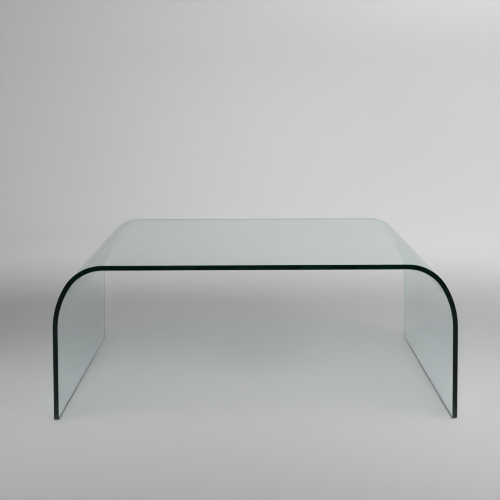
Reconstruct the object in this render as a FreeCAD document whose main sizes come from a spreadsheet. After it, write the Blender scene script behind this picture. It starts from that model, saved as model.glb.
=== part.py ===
"""Waterfall coffee table: one heat-bent sheet of clear glass that stands on four clear glides.

Millimetres. The floor is Z = 0, +Z is up, +X runs along the top and the front edge faces -Y.
"""
import FreeCAD, Part
import math
import os
from enum import IntEnum

import Sketcher

doc = FreeCAD.newDocument("waterfall_coffee_table")

# Driving dimensions: alias, value, meaning
SIZES = [
    ("overall_width", "980", "across the feet, outside to outside"),
    ("overall_depth", "650", "from the front edge to the rear edge"),
    ("overall_height", "385", "from the floor to the top face"),
    ("glass_thickness", "12", "nominal thickness of the float glass"),
    ("upper_bend_radius", "108", "outside radius of the bend next to the top"),
    ("lower_bend_radius", "209", "outside radius of the bend next to the leg"),
    ("upper_bend_angle", "57", "turn of the tighter bend, in degrees"),
    ("leg_splay_angle", "2.2", "outward lean of a leg, in degrees"),
    ("corner_round", "4", "radius of the sheet's four dubbed corners"),
    ("edge_arris", "0.5", "flat ground along every edge of the sheet"),
    ("glide_margin", "0.5", "clearance from a glide to the foot's flat"),
    ("glide_thickness", "1.5", "height that the glides lift the glass"),
    ("glide_setback", "0.4", "from a glide's rim in to its underside"),
    ("glide_edge_round", "0.3", "round of a glide's lower edge"),
    ("glide_inset", "45", "from the front or rear edge to a glide's centre"),
]

# Largest share of a piece's size by which an edge may leave its plane and still count as lying in it
FLATNESS_SHARE = 1e-6

# Faces that meet at less than this angle run on smoothly
SHARP_ANGLE = math.radians(30)

sheet = doc.addObject("Spreadsheet::Sheet", "Sizes")
for row, (alias, value, meaning) in enumerate(SIZES, start=1):
    sheet.set(f"A{row}", meaning)
    sheet.set(f"B{row}", value)
    sheet.setAlias(f"B{row}", alias)
doc.recompute()


def size(alias):
    """Value of one cell of the sheet."""
    return float(sheet.get(alias))


def origin_feature(body, role):
    """One of a body's own origin planes or axes."""
    return next(feature for feature in body.Origin.OriginFeatures if feature.Role == role)


def add_body(label):
    """An empty body whose label names its file."""
    body = doc.addObject("PartDesign::Body", label)
    body.Label = label
    return body


def add_sketch(body, name):
    """A sketch on the body's XZ plane: sketch x is X, sketch y is Z."""
    sketch = body.newObject("Sketcher::SketchObject", name)
    sketch.AttachmentSupport = [(origin_feature(body, "XZ_Plane"), "")]
    sketch.MapMode = "FlatFace"
    return sketch


def point(x, z):
    """A point of a sketch."""
    return FreeCAD.Vector(x, z, 0)


def line(start, end):
    """A straight edge of a sketch."""
    return Part.LineSegment(start, end)


def arc(centre, radius, start, end):
    """A round edge of a sketch, anticlockwise from the start angle to the end angle."""
    circle = Part.Circle(centre, FreeCAD.Vector(0, 0, 1), radius)
    return Part.ArcOfCircle(circle, start, end)


def fix(sketch, *constraint):
    """Add a constraint to a sketch and give its number."""
    return sketch.addConstraint(Sketcher.Constraint(*constraint))


def drive(sketch, name, expression, *constraint):
    """Add a dimension to a sketch and bind it to the sheet."""
    index = fix(sketch, *constraint)
    sketch.renameConstraint(index, name)
    sketch.setExpression(f"Constraints.{name}", expression)


def edges_where(shape, test):
    """Names of the edges of a shape that pass a test."""
    return [f"Edge{index}" for index, edge in enumerate(shape.Edges, start=1) if test(edge)]


def is_sharp(shape, edge):
    """Whether the two faces beside an edge of a shape meet at an angle."""
    middle = edge.valueAt((edge.FirstParameter + edge.LastParameter) / 2)
    first, second = (face.normalAt(*face.Surface.parameter(middle))
                     for face in shape.ancestorsOfType(edge, Part.Face))
    return first.getAngle(second) > SHARP_ANGLE


def finish_edges(body, kind, name, base, edges, bound, alias):
    """Fillet or chamfer some edges of a feature by a size of the sheet."""
    feature = body.newObject(f"PartDesign::{kind}", name)
    feature.Base = (base, edges)
    feature.setExpression(bound, f"Sizes.{alias}")
    doc.recompute()
    return feature


class Spot(IntEnum):
    """The places on an edge, as sketch constraints number them."""

    START = 1
    END = 2
    CENTRE = 3


class Axis(IntEnum):
    """A sketch's own axes, as sketch constraints number them."""

    X = -1
    Z = -2


def glass_profile(sketch):
    """Right half of the bent sheet seen from the front, from the middle of the top to the foot.

    The foot stands on Z = 0. The bend is a compound one, as glass sags over its former: a tight
    arc next to the top runs into a wider arc next to the leg.
    """
    thickness = size("glass_thickness")
    tight = size("upper_bend_radius")
    wide = size("lower_bend_radius")
    splay = math.radians(size("leg_splay_angle"))
    split = math.radians(90 - size("upper_bend_angle"))
    top = size("overall_height") - size("glide_thickness")
    foot = size("overall_width") / 2

    # Where the sheet runs, worked out from the foot inwards
    step = wide - tight
    wide_z = top - tight - step * math.sin(split)
    leg_z = wide_z + wide * math.sin(splay)
    wide_x = foot - leg_z * math.tan(splay) - wide * math.cos(splay)
    tight_x = wide_x + step * math.cos(split)
    tight_centre = point(tight_x, top - tight)
    wide_centre = point(wide_x, wide_z)

    def on_leg(radius):
        return wide_centre + point(radius * math.cos(splay), radius * math.sin(splay))

    inner_foot = foot - thickness / math.cos(splay)
    under = top - thickness
    upright = math.pi / 2
    geometry = [
        line(point(0, top), point(tight_x, top)),
        arc(tight_centre, tight, split, upright),
        arc(wide_centre, wide, splay, split),
        line(on_leg(wide), point(foot, 0)),
        line(point(foot, 0), point(inner_foot, 0)),
        line(point(inner_foot, 0), on_leg(wide - thickness)),
        arc(wide_centre, wide - thickness, splay, split),
        arc(tight_centre, tight - thickness, split, upright),
        line(point(tight_x, under), point(0, under)),
        line(point(0, under), point(0, top)),
    ]
    sketch.addGeometry(geometry, False)
    (top_face, tight_out, wide_out, leg_out, foot_face,
     leg_in, wide_in, tight_in, under_face, middle) = range(len(geometry))

    # The sheet runs on smoothly from the top through both arcs to the leg, outside and inside
    for first, first_end, second, second_end in (
            (top_face, Spot.END, tight_out, Spot.END),
            (tight_out, Spot.START, wide_out, Spot.END),
            (wide_out, Spot.START, leg_out, Spot.START),
            (under_face, Spot.START, tight_in, Spot.END),
            (tight_in, Spot.START, wide_in, Spot.END),
            (wide_in, Spot.START, leg_in, Spot.END)):
        fix(sketch, "Tangent", first, first_end, second, second_end)
    for first, second in (
            (leg_out, foot_face), (foot_face, leg_in), (under_face, middle), (middle, top_face)):
        fix(sketch, "Coincident", first, Spot.END, second, Spot.START)
    for level in (top_face, foot_face, under_face):
        fix(sketch, "Horizontal", level)
    fix(sketch, "Vertical", middle)
    fix(sketch, "PointOnObject", middle, Spot.END, Axis.Z)
    fix(sketch, "PointOnObject", foot_face, Spot.START, Axis.X)

    # One thickness all the way: the inner arcs share the outer arcs' centres
    fix(sketch, "Coincident", tight_in, Spot.CENTRE, tight_out, Spot.CENTRE)
    fix(sketch, "Coincident", wide_in, Spot.CENTRE, wide_out, Spot.CENTRE)
    fix(sketch, "Parallel", leg_in, leg_out)

    drive(sketch, "thickness", "Sizes.glass_thickness",
          "DistanceY", middle, Spot.START, middle, Spot.END, thickness)
    drive(sketch, "top", "Sizes.overall_height - Sizes.glide_thickness",
          "DistanceY", foot_face, Spot.START, top_face, Spot.START, top)
    drive(sketch, "half_width", "Sizes.overall_width / 2",
          "DistanceX", top_face, Spot.START, foot_face, Spot.START, foot)
    drive(sketch, "tight_radius", "Sizes.upper_bend_radius", "Radius", tight_out, tight)
    drive(sketch, "wide_radius", "Sizes.lower_bend_radius", "Radius", wide_out, wide)
    drive(sketch, "tight_turn", "Sizes.upper_bend_angle * 1 deg", "Angle", tight_out, upright - split)
    drive(sketch, "wide_turn", "(90 - Sizes.upper_bend_angle - Sizes.leg_splay_angle) * 1 deg",
          "Angle", wide_out, split - splay)


def make_glass():
    """The bent sheet: half profile pulled to the full depth, mirrored, corners dubbed, edges arrised."""
    body = add_body("glass_sheet")
    body.setExpression("Placement.Base.z", "Sizes.glide_thickness")
    sketch = add_sketch(body, "glass_profile")
    glass_profile(sketch)

    half = body.newObject("PartDesign::Pad", "glass_half")
    half.Profile = sketch
    half.setExpression("Length", "Sizes.overall_depth")
    half.SideType = "Symmetric"
    doc.recompute()

    whole = body.newObject("PartDesign::Mirrored", "glass_whole")
    whole.Originals = [half]
    whole.MirrorPlane = (origin_feature(body, "YZ_Plane"), [""])
    body.Tip = whole
    doc.recompute()

    # The corners of the sheet are the ends of its two feet
    flatness = size("overall_depth") * FLATNESS_SHARE
    corners = edges_where(whole.Shape, lambda edge: (
        edge.BoundBox.ZMax < flatness and edge.BoundBox.YLength < flatness))
    dubbed = finish_edges(body, "Fillet", "dubbed_corners", whole, corners, "Radius", "corner_round")
    outline = edges_where(dubbed.Shape, lambda edge: is_sharp(dubbed.Shape, edge))
    finish_edges(body, "Chamfer", "arrises", dubbed, outline, "Size", "edge_arris")
    return body


def make_glide(label, side, end):
    """A moulded clear pad under the middle of a foot: side is -1 or 1 along X, end along Y."""
    body = add_body(label)
    foot_middle = "Sizes.glass_thickness / (2 * cos(Sizes.leg_splay_angle * 1 deg))"
    body.setExpression("Placement.Base.x", f"{side} * (Sizes.overall_width / 2 - {foot_middle})")
    body.setExpression("Placement.Base.y", f"{end} * (Sizes.overall_depth / 2 - Sizes.glide_inset)")

    # Half section: level underside, drawn-in side, level glued face
    radius = size("glass_thickness") / 2 - size("edge_arris") - size("glide_margin")
    drawn_in = radius - size("glide_setback")
    height = size("glide_thickness")
    corners = [point(0, 0), point(drawn_in, 0), point(radius, height), point(0, height)]
    sketch = add_sketch(body, f"{label}_section")
    sketch.addGeometry([line(*ends) for ends in zip(corners, corners[1:] + corners[:1])], False)
    underside, wall, glued, axis = range(len(corners))
    for first, second in ((underside, wall), (wall, glued), (glued, axis), (axis, underside)):
        fix(sketch, "Coincident", first, Spot.END, second, Spot.START)
    fix(sketch, "Horizontal", glued)
    fix(sketch, "Vertical", axis)
    fix(sketch, "PointOnObject", underside, Spot.END, Axis.X)
    fix(sketch, "Coincident", axis, Spot.END, Axis.X, Spot.START)
    drive(sketch, "height", "Sizes.glide_thickness",
          "DistanceY", axis, Spot.END, axis, Spot.START, height)
    drive(sketch, "radius", "Sizes.glass_thickness / 2 - Sizes.edge_arris - Sizes.glide_margin",
          "DistanceX", glued, Spot.END, glued, Spot.START, radius)
    drive(sketch, "setback", "Sizes.glide_setback",
          "DistanceX", wall, Spot.START, wall, Spot.END, size("glide_setback"))

    pad = body.newObject("PartDesign::Revolution", f"{label}_pad")
    pad.Profile = sketch
    pad.ReferenceAxis = (sketch, ["V_Axis"])
    doc.recompute()
    lower_edge = edges_where(pad.Shape, lambda edge: (
        edge.BoundBox.ZMax < height * FLATNESS_SHARE and edge.Length > height))
    finish_edges(body, "Fillet", f"{label}_round", pad, lower_edge, "Radius", "glide_edge_round")
    return body


pieces = [make_glass()]
for side_name, side in (("left", -1), ("right", 1)):
    for end_name, end in (("front", -1), ("rear", 1)):
        pieces.append(make_glide(f"glide_{end_name}_{side_name}", side, end))
doc.recompute()

for item in doc.Objects:
    if "Invalid" in item.State or "Error" in item.State:
        raise RuntimeError(f"{item.Name} failed: {item.State}")
    if item.TypeId == "Sketcher::SketchObject" and not item.FullyConstrained:
        raise RuntimeError(f"{item.Name} isn't fully constrained")
for piece in pieces:
    if piece.Shape.isNull() or not piece.Shape.isValid() or len(piece.Shape.Solids) != 1:
        raise RuntimeError(f"{piece.Label} isn't one valid solid")

os.makedirs("parts", exist_ok=True)
for piece in pieces:
    piece.Shape.exportStep(f"parts/{piece.Label}.step")
    print(piece.Label, "volume", round(piece.Shape.Volume, 2), "faces", len(piece.Shape.Faces))
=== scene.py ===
"""Looks of the waterfall coffee table: bent clear glass on clear glides, in a pale round studio cove.

Metres. The floor is Z = 0, +Z is up, +X runs along the top and the front edge faces -Y.
"""
import math
from collections import namedtuple

import bmesh
import bpy
from mathutils import Matrix, Vector


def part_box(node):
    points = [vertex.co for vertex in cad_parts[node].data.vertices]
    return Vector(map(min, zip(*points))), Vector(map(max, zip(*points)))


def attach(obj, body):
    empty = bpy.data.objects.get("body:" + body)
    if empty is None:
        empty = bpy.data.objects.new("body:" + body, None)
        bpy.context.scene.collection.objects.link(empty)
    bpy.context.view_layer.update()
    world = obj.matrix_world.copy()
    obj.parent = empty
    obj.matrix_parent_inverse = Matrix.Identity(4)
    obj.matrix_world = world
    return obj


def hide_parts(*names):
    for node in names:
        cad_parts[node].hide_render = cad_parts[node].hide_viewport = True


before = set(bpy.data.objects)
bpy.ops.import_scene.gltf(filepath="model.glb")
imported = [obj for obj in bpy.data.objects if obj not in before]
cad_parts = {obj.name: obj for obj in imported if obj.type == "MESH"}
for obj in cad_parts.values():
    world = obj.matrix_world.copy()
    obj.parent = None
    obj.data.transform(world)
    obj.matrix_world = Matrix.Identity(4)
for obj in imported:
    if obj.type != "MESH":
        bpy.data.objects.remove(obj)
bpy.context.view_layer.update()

# The bent sheet: its depth and height come from the frame, these are its other sizes
GLASS_THICKNESS = 0.012
FOOT_SPAN = 0.980
TIGHT_RADIUS = 0.108
WIDE_RADIUS = 0.209
TIGHT_TURN = math.radians(57)
LEG_SPLAY = math.radians(2.2)
EDGE_ARRIS = 0.0005
CORNER_ROUND = 0.004

# How finely the sheet is divided, and from which angle on an edge of the mesh is crisp
BEND_STEP = math.radians(1.5)
FLAT_STEPS = 12
LEG_STEPS = 8
CORNER_STEPS = 6
DEPTH_STEPS = 24
SHARP_ANGLE = math.radians(25)

# Clear float glass: refraction, and the green that builds up along the light's way through it
GLASS_IOR = 1.52
GLASS_TINT = (0.20, 0.57, 0.53)
GLASS_DENSITY = 12.0

# How each face of the sheet is finished and shaded: a large face, a polished edge given painted shade, or
# a foot left matt from grinding and given darker painted shade
FINISH_AND_SHADE_MARK = "finish_and_shade"
LARGE_FACE = 0.0
POLISHED_SHADED_EDGE = 0.5
MATT_SHADED_FOOT = 1.0

# Tint, shine and roughness of the three kinds of face, in that order. The darker tints and lower shines of
# the edge and the foot are painted shade that darkens them and dims their reflections; the roughness is
# their real surface
PAINTED_SHADE_TINTS = [(1.0, 1.0, 1.0), (0.30, 0.42, 0.33), (0.10, 0.14, 0.11)]
PAINTED_SHADE_SHINES = [1.0, 0.5, 0.5]
FINISH_ROUGHNESS = [0.0, 0.04, 0.8]

# Faint wipe marks: their pattern, and the least and most roughness that they add
WIPE_PATTERN = {"Scale": 9.0, "Detail": 5.0, "Roughness": 0.6}
WIPE_ROUGHNESS = (0.0, 0.03)

# Clear moulded polymer of the glides, with a fine haze
GLIDE_COLOUR = (0.86, 0.88, 0.87)
GLIDE_CLEAR_SHARE = 0.8
GLIDE_IOR = 1.49
GLIDE_PATTERN = {"Scale": 900.0, "Detail": 3.0}
GLIDE_ROUGHNESS = (0.25, 0.5)

# The studio: a flat round floor that curves up into a wall, of pale matt paper
FLOOR_RADIUS = 2.3
COVE_RADIUS = 1.0
WALL_HEIGHT = 2.9
COVE_SIDES = 128
COVE_STEPS = 16
PAPER_COLOUR = (0.52, 0.52, 0.522)
PAPER_ROUGHNESS = 0.9
PAPER_SHINE = 0.1

# The lamps leave the wall dim in front of the table and beside it, and the floor's rim too. They are seen
# paler than that, without lighting anything, and only away from the table. How far a place lies to the
# rear, as a share of its distance, says how much: not at all from the first share, fully up to the
# second. The glow also grows with the distance from the middle, from its start to its rim. Mirrored,
# only the wall is paler, fully from the rise on
GLOW = 0.36
GLOW_COLOUR = (1.0, 1.0, 1.0)
GLOW_SHARES = (0.7, 0.1)
GLOW_START = 1.0
GLOW_RIM = 2.4
GLOW_RISE = 0.7

# Camera: where it stands, how it is turned, and its lens on the sensor, both in millimetres
CAMERA_PLACE = (-0.00788, -2.20864, 0.8136)
CAMERA_YAW = math.radians(-0.1092)
CAMERA_PITCH = math.radians(11.7648)
CAMERA_ROLL = math.radians(0.2754)
SENSOR_WIDTH = 36.0
LENS = 59.56

# Kinds of soft lamp. They stand at a distance from the middle and aim at another, on the same bearing, and
# spread is how wide they shine, in degrees
LampKind = namedtuple("LampKind", "distance height aim_distance aim_height width depth spread")
KEY = LampKind(distance=2.9, height=1.8, aim_distance=0.0, aim_height=0.2,
               width=0.7, depth=0.7, spread=70)
TOP = LampKind(distance=1.3, height=2.4, aim_distance=0.75, aim_height=0.0,
               width=0.9, depth=0.9, spread=50)
WALL_LOW = LampKind(distance=1.7, height=1.9, aim_distance=3.3, aim_height=0.2,
                    width=1.4, depth=0.5, spread=140)
WALL_HIGH = LampKind(distance=1.9, height=2.6, aim_distance=3.3, aim_height=1.0,
                     width=1.1, depth=0.6, spread=180)
REAR_FLOOR = LampKind(distance=1.1, height=1.7, aim_distance=1.5, aim_height=0.0,
                      width=3.0, depth=0.4, spread=80)

# The glass mirrors only these lamps
MIRRORED_KINDS = (KEY,)
# These light the backdrop. They aren't seen through the glass, and it casts no shadow in their light
BACKDROP_KINDS = (WALL_LOW, WALL_HIGH, REAR_FLOOR)

# The lamps: name, kind, bearing in degrees from +X towards +Y, and watts
LAMPS = [
    ("key_left", KEY, -139, 3.4),
    ("key_right", KEY, -41, 6.5),
    ("top_left", TOP, -155, 2.5),
    ("top_right", TOP, -25, 2.8),
    ("wall_right", WALL_LOW, 15, 9.0),
    ("wall_rear_right", WALL_HIGH, 50, 54.0),
    ("wall_rear", WALL_LOW, 90, 12.0),
    ("wall_rear_floor", REAR_FLOOR, 90, 3.3),
    ("wall_rear_left", WALL_LOW, 130, 7.0),
    ("wall_front_left", WALL_HIGH, -125, 3.8),
    ("wall_front_right", WALL_HIGH, -55, 3.8),
]
WORLD_COLOUR = (0.0, 0.0, 0.0)

# How often light is followed on, in all and at glass, and how wide each pixel's filter is, in pixels
ALL_BOUNCES = 32
GLASS_BOUNCES = 24
PIXEL_FILTER = 1.0


def add_object(name, data):
    """An object in the scene."""
    thing = bpy.data.objects.new(name, data)
    bpy.context.scene.collection.objects.link(thing)
    return thing


# Mesh of the bent sheet

def half_line():
    """Middle line of the sheet in X and Z, from the middle of the top to the right foot.

    First the points up to the leg, each with its outward normal. Then the leg: its start, its outward
    and downward directions and its length.
    """
    low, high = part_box("glass_sheet")
    middle = GLASS_THICKNESS / 2
    split = math.pi / 2 - TIGHT_TURN
    step = WIDE_RADIUS - TIGHT_RADIUS
    wide_z = high.z - TIGHT_RADIUS - step * math.sin(split)
    leg_rise = wide_z + WIDE_RADIUS * math.sin(LEG_SPLAY) - low.z
    wide_x = FOOT_SPAN / 2 - leg_rise * math.tan(LEG_SPLAY) - WIDE_RADIUS * math.cos(LEG_SPLAY)
    wide_centre = Vector((wide_x, wide_z))
    tight_centre = wide_centre + step * Vector((math.cos(split), math.sin(split)))

    def along_bend(centre, radius, start, end):
        """Points and normals round one arc, without its last point."""
        steps = math.ceil((end - start) / BEND_STEP)
        for index in range(steps):
            turn = start + (end - start) * index / steps
            normal = Vector((math.sin(turn), math.cos(turn)))
            yield centre + (radius - middle) * normal, normal

    upright = Vector((0.0, 1.0))
    line = [(Vector((tight_centre.x * index / FLAT_STEPS, high.z - middle)), upright)
            for index in range(FLAT_STEPS)]
    line += along_bend(tight_centre, TIGHT_RADIUS, 0.0, TIGHT_TURN)
    line += along_bend(wide_centre, WIDE_RADIUS, TIGHT_TURN, math.pi / 2 - LEG_SPLAY)
    outward = Vector((math.cos(LEG_SPLAY), math.sin(LEG_SPLAY)))
    downward = Vector((outward.y, -outward.x))
    leg_start = wide_centre + (WIDE_RADIUS - middle) * outward
    leg_length = (leg_start.y - low.z) / math.cos(LEG_SPLAY)
    return line, leg_start, outward, downward, leg_length


def half_stations(level, inset):
    """Points of one layer of the right half, from the middle to the foot, each with its half depth.

    level is the distance from the sheet's middle line along the normal. inset draws the outline in
    all round, as the arris does on the two large faces.
    """
    line, leg_start, outward, downward, leg_length = half_line()
    half_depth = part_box("glass_sheet")[1].y
    stations = [(point + level * normal, half_depth - inset) for point, normal in line]

    def on_leg(run):
        """A point down the leg, where the foot is cut level."""
        level_cut = level * math.tan(LEG_SPLAY) * run / leg_length
        return leg_start + (run + level_cut) * downward + level * outward

    straight = leg_length - CORNER_ROUND
    for index in range(LEG_STEPS):
        stations.append((on_leg(straight * index / LEG_STEPS), half_depth - inset))
    radius = CORNER_ROUND - inset
    for index in range(CORNER_STEPS + 1):
        turn = math.pi / 2 * index / CORNER_STEPS
        run = straight + radius * math.sin(turn)
        stations.append((on_leg(run), half_depth - CORNER_ROUND + radius * math.cos(turn)))
    return stations


def sheet_layer(level, inset):
    """Places of one layer: a row from front to rear at each station, from the left foot to the right."""
    right = half_stations(level, inset)
    left = [(Vector((-point.x, point.y)), half_depth) for point, half_depth in reversed(right[1:])]
    return [[(point.x, half_depth * (2 * column / DEPTH_STEPS - 1), point.y)
             for column in range(DEPTH_STEPS + 1)]
            for point, half_depth in left + right]


def outline(rows):
    """What lies round the edge of a layer, in order."""
    front = [row[0] for row in rows]
    rear = [row[-1] for row in rows]
    return front + rows[-1][1:-1] + rear[::-1] + rows[0][-2:0:-1]


def sheet_mesh():
    """The bent sheet as one closed mesh: two large faces, two arris strips and the edge between them."""
    skin = GLASS_THICKNESS / 2
    ground = skin - EDGE_ARRIS
    vertices = []
    faces = []

    def numbered(places):
        """Add vertices, and give their numbers."""
        first = len(vertices)
        vertices.extend(places)
        return list(range(first, len(vertices)))

    outer = [numbered(row) for row in sheet_layer(skin, EDGE_ARRIS)]
    inner = [numbered(row) for row in sheet_layer(-skin, EDGE_ARRIS)]
    for rows in (outer, inner):
        for row, after in zip(rows, rows[1:]):
            for column in range(DEPTH_STEPS):
                faces.append((row[column], after[column], after[column + 1], row[column + 1]))
    large_faces = len(faces)

    upper_rim = numbered(outline(sheet_layer(ground, 0.0)))
    lower_rim = numbered(outline(sheet_layer(-ground, 0.0)))
    loops = [outline(outer), upper_rim, lower_rim, outline(inner)]
    for loop, following in zip(loops, loops[1:]):
        for index in range(len(loop)):
            after = (index + 1) % len(loop)
            faces.append((loop[index], following[index], following[after], loop[after]))
    return vertices, faces, large_faces


def make_sheet():
    """The glass sheet with smooth bends, crisp arrises and a mark on each face that sets its roughness and
    its painted shade.
    """
    vertices, faces, large_faces = sheet_mesh()
    mesh = bpy.data.meshes.new("bent_glass_sheet")
    mesh.from_pydata(vertices, [], faces)
    foot_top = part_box("glass_sheet")[0].z + EDGE_ARRIS
    # Edges and feet are marked for painted shade as well as for their roughness
    finishes_and_shades = []
    for face in mesh.polygons:
        if face.index < large_faces:
            finishes_and_shades.append(LARGE_FACE)
        elif face.center.z > foot_top:
            finishes_and_shades.append(POLISHED_SHADED_EDGE)
        else:
            finishes_and_shades.append(MATT_SHADED_FOOT)
    mesh.attributes.new(FINISH_AND_SHADE_MARK, "FLOAT", "FACE").data.foreach_set("value", finishes_and_shades)
    work = bmesh.new()
    work.from_mesh(mesh)
    bmesh.ops.recalc_face_normals(work, faces=work.faces[:])
    work.to_mesh(mesh)
    work.free()
    mesh.shade_smooth()
    mesh.set_sharp_from_angle(angle=SHARP_ANGLE)
    mesh.materials.append(glass_material())
    sheet = add_object("bent_glass_sheet", mesh)
    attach(sheet, "root")
    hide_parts("glass_sheet")


# Parts of materials

def new_material(name):
    """A material with its Principled shader and its output."""
    material = bpy.data.materials.new(name)
    material.use_nodes = True
    nodes = material.node_tree.nodes
    return material, nodes["Principled BSDF"], nodes["Material Output"]


def add_node(material, kind, sockets=None):
    """A node of that kind, with some of its inputs set."""
    node = material.node_tree.nodes.new(kind)
    for name, value in (sockets or {}).items():
        node.inputs[name].default_value = value
    return node


def join(material, source, target):
    """Link an output socket to an input socket."""
    material.node_tree.links.new(source, target)


def patterned(material, pattern):
    """Noise over the piece, from 0 to 1."""
    place = add_node(material, "ShaderNodeTexCoord")
    noise = add_node(material, "ShaderNodeTexNoise", pattern)
    join(material, place.outputs["Object"], noise.inputs["Vector"])
    return noise.outputs["Fac"]


def ranged(material, source, low, high):
    """Map a 0 to 1 value to a range."""
    node = add_node(material, "ShaderNodeMapRange", {"To Min": low, "To Max": high})
    join(material, source, node.inputs["Value"])
    return node.outputs["Result"]


def sloped(material, source, start, end):
    """Turn a distance or share into 0 at its start and before, and 1 at its end and beyond."""
    node = add_node(material, "ShaderNodeMapRange", {"From Min": start, "From Max": end})
    node.interpolation_type = "SMOOTHSTEP"
    join(material, source, node.inputs["Value"])
    return node.outputs["Result"]


def graded(material, source, colours):
    """Run through three colours as a value goes from 0 over a half to 1."""
    node = add_node(material, "ShaderNodeValToRGB")
    node.color_ramp.elements.new(0.5)
    for stop, colour in zip(node.color_ramp.elements, colours):
        stop.color = (*colour, 1.0)
    join(material, source, node.inputs["Fac"])
    return node.outputs["Color"]


def greys(values):
    """Grey colours of those values."""
    return [(value, value, value) for value in values]


def worked(material, operation, first, second):
    """One value worked out from two, between 0 and 1."""
    node = add_node(material, "ShaderNodeMath")
    node.operation = operation
    node.use_clamp = True
    join(material, first, node.inputs[0])
    join(material, second, node.inputs[1])
    return node.outputs["Value"]


# Materials

def glass_material():
    """Clear green-tinted float glass with faint wipe marks, slightly duller edges and matt feet, both
    darkened and their reflections dimmed by painted shade.
    """
    material, shader, output = new_material("clear_glass")
    shader.inputs["Transmission Weight"].default_value = 1.0
    shader.inputs["IOR"].default_value = GLASS_IOR
    mark = add_node(material, "ShaderNodeAttribute")
    mark.attribute_name = FINISH_AND_SHADE_MARK
    finish_and_shade = mark.outputs["Fac"]
    # Painted shade: the edges and, darker still, the feet are tinted darker and reflect less than the
    # large faces
    join(material, graded(material, finish_and_shade, PAINTED_SHADE_TINTS), shader.inputs["Base Color"])
    join(material, graded(material, finish_and_shade, greys(PAINTED_SHADE_SHINES)), shader.inputs["Specular Tint"])
    wiped = ranged(material, patterned(material, WIPE_PATTERN), *WIPE_ROUGHNESS)
    ground = graded(material, finish_and_shade, greys(FINISH_ROUGHNESS))
    join(material, worked(material, "ADD", wiped, ground), shader.inputs["Roughness"])

    tint = {"Color": (*GLASS_TINT, 1.0), "Density": GLASS_DENSITY}
    body = add_node(material, "ShaderNodeVolumeAbsorption", tint)
    join(material, body.outputs["Volume"], output.inputs["Volume"])
    return material


def glide_material():
    """Clear moulded polymer, slightly hazy and scuffed."""
    material, shader, _ = new_material("glide_polymer")
    shader.inputs["Base Color"].default_value = (*GLIDE_COLOUR, 1.0)
    shader.inputs["Transmission Weight"].default_value = GLIDE_CLEAR_SHARE
    shader.inputs["IOR"].default_value = GLIDE_IOR
    haze = ranged(material, patterned(material, GLIDE_PATTERN), *GLIDE_ROUGHNESS)
    join(material, haze, shader.inputs["Roughness"])
    return material


def glow_place(material):
    """How much the paper glows at a place, from 0 to 1, and how far up the wall that place is."""
    place = add_node(material, "ShaderNodeTexCoord").outputs["Object"]
    axes = add_node(material, "ShaderNodeSeparateXYZ")
    join(material, place, axes.inputs["Vector"])
    level = add_node(material, "ShaderNodeVectorMath")
    level.operation = "MULTIPLY"
    level.inputs[1].default_value = (1.0, 1.0, 0.0)
    join(material, place, level.inputs[0])
    length = add_node(material, "ShaderNodeVectorMath")
    length.operation = "LENGTH"
    join(material, level.outputs["Vector"], length.inputs[0])
    distance = length.outputs["Value"]
    rearward = worked(material, "DIVIDE", axes.outputs["Y"], distance)
    turned_away = sloped(material, rearward, *GLOW_SHARES)
    far_out = sloped(material, distance, GLOW_START, GLOW_RIM)
    on_wall = sloped(material, axes.outputs["Z"], 0.0, GLOW_RISE)
    return worked(material, "MULTIPLY", turned_away, far_out), on_wall


def glow_seen(material, on_wall):
    """Whether the glow is looked at, straight, through glass or mirrored, and lights nothing matt."""
    ray = add_node(material, "ShaderNodeLightPath")
    direct = worked(material, "ADD", ray.outputs["Is Camera Ray"], ray.outputs["Is Transmission Ray"])
    mirrored = worked(material, "MULTIPLY", ray.outputs["Is Glossy Ray"], on_wall)
    unscattered = add_node(material, "ShaderNodeMath")
    unscattered.operation = "LESS_THAN"
    unscattered.inputs[1].default_value = 1.0
    join(material, ray.outputs["Diffuse Depth"], unscattered.inputs[0])
    looked_at = worked(material, "ADD", direct, mirrored)
    return worked(material, "MULTIPLY", looked_at, unscattered.outputs["Value"])


def paper_material():
    """Pale matt studio paper, with the glow that keeps the wall pale from every side."""
    material, shader, _ = new_material("studio_paper")
    shader.inputs["Base Color"].default_value = (*PAPER_COLOUR, 1.0)
    shader.inputs["Roughness"].default_value = PAPER_ROUGHNESS
    shader.inputs["Specular IOR Level"].default_value = PAPER_SHINE
    shader.inputs["Emission Color"].default_value = (*GLOW_COLOUR, 1.0)
    material.cycles.emission_sampling = "NONE"
    glow, on_wall = glow_place(material)
    lit = worked(material, "MULTIPLY", glow, glow_seen(material, on_wall))
    join(material, ranged(material, lit, 0.0, GLOW), shader.inputs["Emission Strength"])
    return material


# Studio

def make_studio():
    """Floor, cove and wall as one surface of revolution round the table."""
    profile = [(FLOOR_RADIUS, 0.0)]
    for index in range(1, COVE_STEPS + 1):
        turn = math.pi / 2 * index / COVE_STEPS
        profile.append((FLOOR_RADIUS + COVE_RADIUS * math.sin(turn), COVE_RADIUS * (1 - math.cos(turn))))
    profile.append((FLOOR_RADIUS + COVE_RADIUS, WALL_HEIGHT))
    vertices = [(0.0, 0.0, 0.0)]
    for radius, height in profile:
        for side in range(COVE_SIDES):
            turn = 2 * math.pi * side / COVE_SIDES
            vertices.append((radius * math.cos(turn), radius * math.sin(turn), height))
    faces = []
    for side in range(COVE_SIDES):
        after = (side + 1) % COVE_SIDES
        faces.append((0, 1 + side, 1 + after))
        for ring in range(len(profile) - 1):
            inside = 1 + ring * COVE_SIDES
            outside = inside + COVE_SIDES
            faces.append((inside + side, outside + side, outside + after, inside + after))
    mesh = bpy.data.meshes.new("studio_cove")
    mesh.from_pydata(vertices, [], faces)
    mesh.shade_smooth()
    mesh.materials.append(paper_material())
    cove = add_object("studio_cove", mesh)
    return cove


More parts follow.
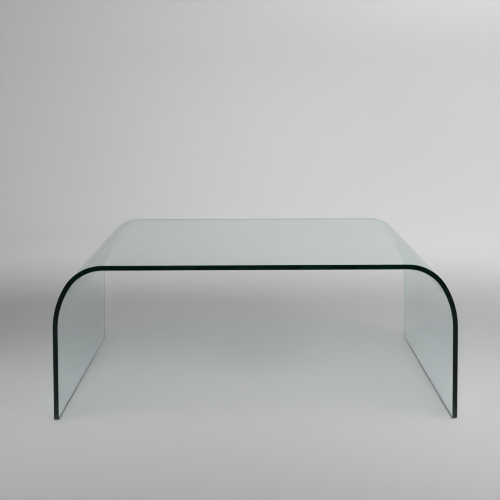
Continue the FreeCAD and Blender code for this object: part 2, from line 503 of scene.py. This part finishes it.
def make_lamps(cove):
    """The soft lamps, each aimed at a point, in a black world."""
    opaque = bpy.data.collections.new("opaque_things")
    opaque.objects.link(cove)
    for name, kind, bearing, watts in LAMPS:
        lamp = bpy.data.lights.new(name, "AREA")
        lamp.shape = "RECTANGLE"
        lamp.size = kind.width
        lamp.size_y = kind.depth
        lamp.spread = math.radians(kind.spread)
        lamp.energy = watts
        holder = add_object(name, lamp)
        outward = Vector((math.cos(math.radians(bearing)), math.sin(math.radians(bearing)), 0.0))
        place = outward * kind.distance + Vector((0.0, 0.0, kind.height))
        target = outward * kind.aim_distance + Vector((0.0, 0.0, kind.aim_height))
        holder.location = place
        holder.rotation_euler = (target - place).to_track_quat("-Z", "Y").to_euler()
        holder.visible_camera = False
        holder.visible_glossy = kind in MIRRORED_KINDS
        holder.visible_transmission = kind not in BACKDROP_KINDS
        if kind in BACKDROP_KINDS:
            holder.light_linking.blocker_collection = opaque
    world = bpy.data.worlds.new("studio_air")
    world.use_nodes = True
    world.node_tree.nodes["Background"].inputs["Color"].default_value = (*WORLD_COLOUR, 1.0)
    bpy.context.scene.world = world


def make_camera():
    """The photograph's viewpoint."""
    camera = bpy.data.cameras.new("camera")
    camera.sensor_width = SENSOR_WIDTH
    camera.lens = LENS
    holder = add_object("camera", camera)
    turn = (Matrix.Rotation(-CAMERA_YAW, 4, "Z")
            @ Matrix.Rotation(math.pi / 2 - CAMERA_PITCH, 4, "X")
            @ Matrix.Rotation(-CAMERA_ROLL, 4, "Z"))
    holder.matrix_world = Matrix.Translation(CAMERA_PLACE) @ turn
    bpy.context.scene.camera = holder


make_sheet()
polymer = glide_material()
for name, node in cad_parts.items():
    if name.startswith("glide_"):
        node.data.materials.clear()
        node.data.materials.append(polymer)

make_lamps(make_studio())
make_camera()

scene = bpy.context.scene
scene.view_settings.view_transform = "Standard"
scene.cycles.max_bounces = ALL_BOUNCES
scene.cycles.glossy_bounces = GLASS_BOUNCES
scene.cycles.transmission_bounces = GLASS_BOUNCES
scene.cycles.filter_width = PIXEL_FILTER
scene.cycles.blur_glossy = 0.0
scene.cycles.sample_clamp_indirect = 0.0
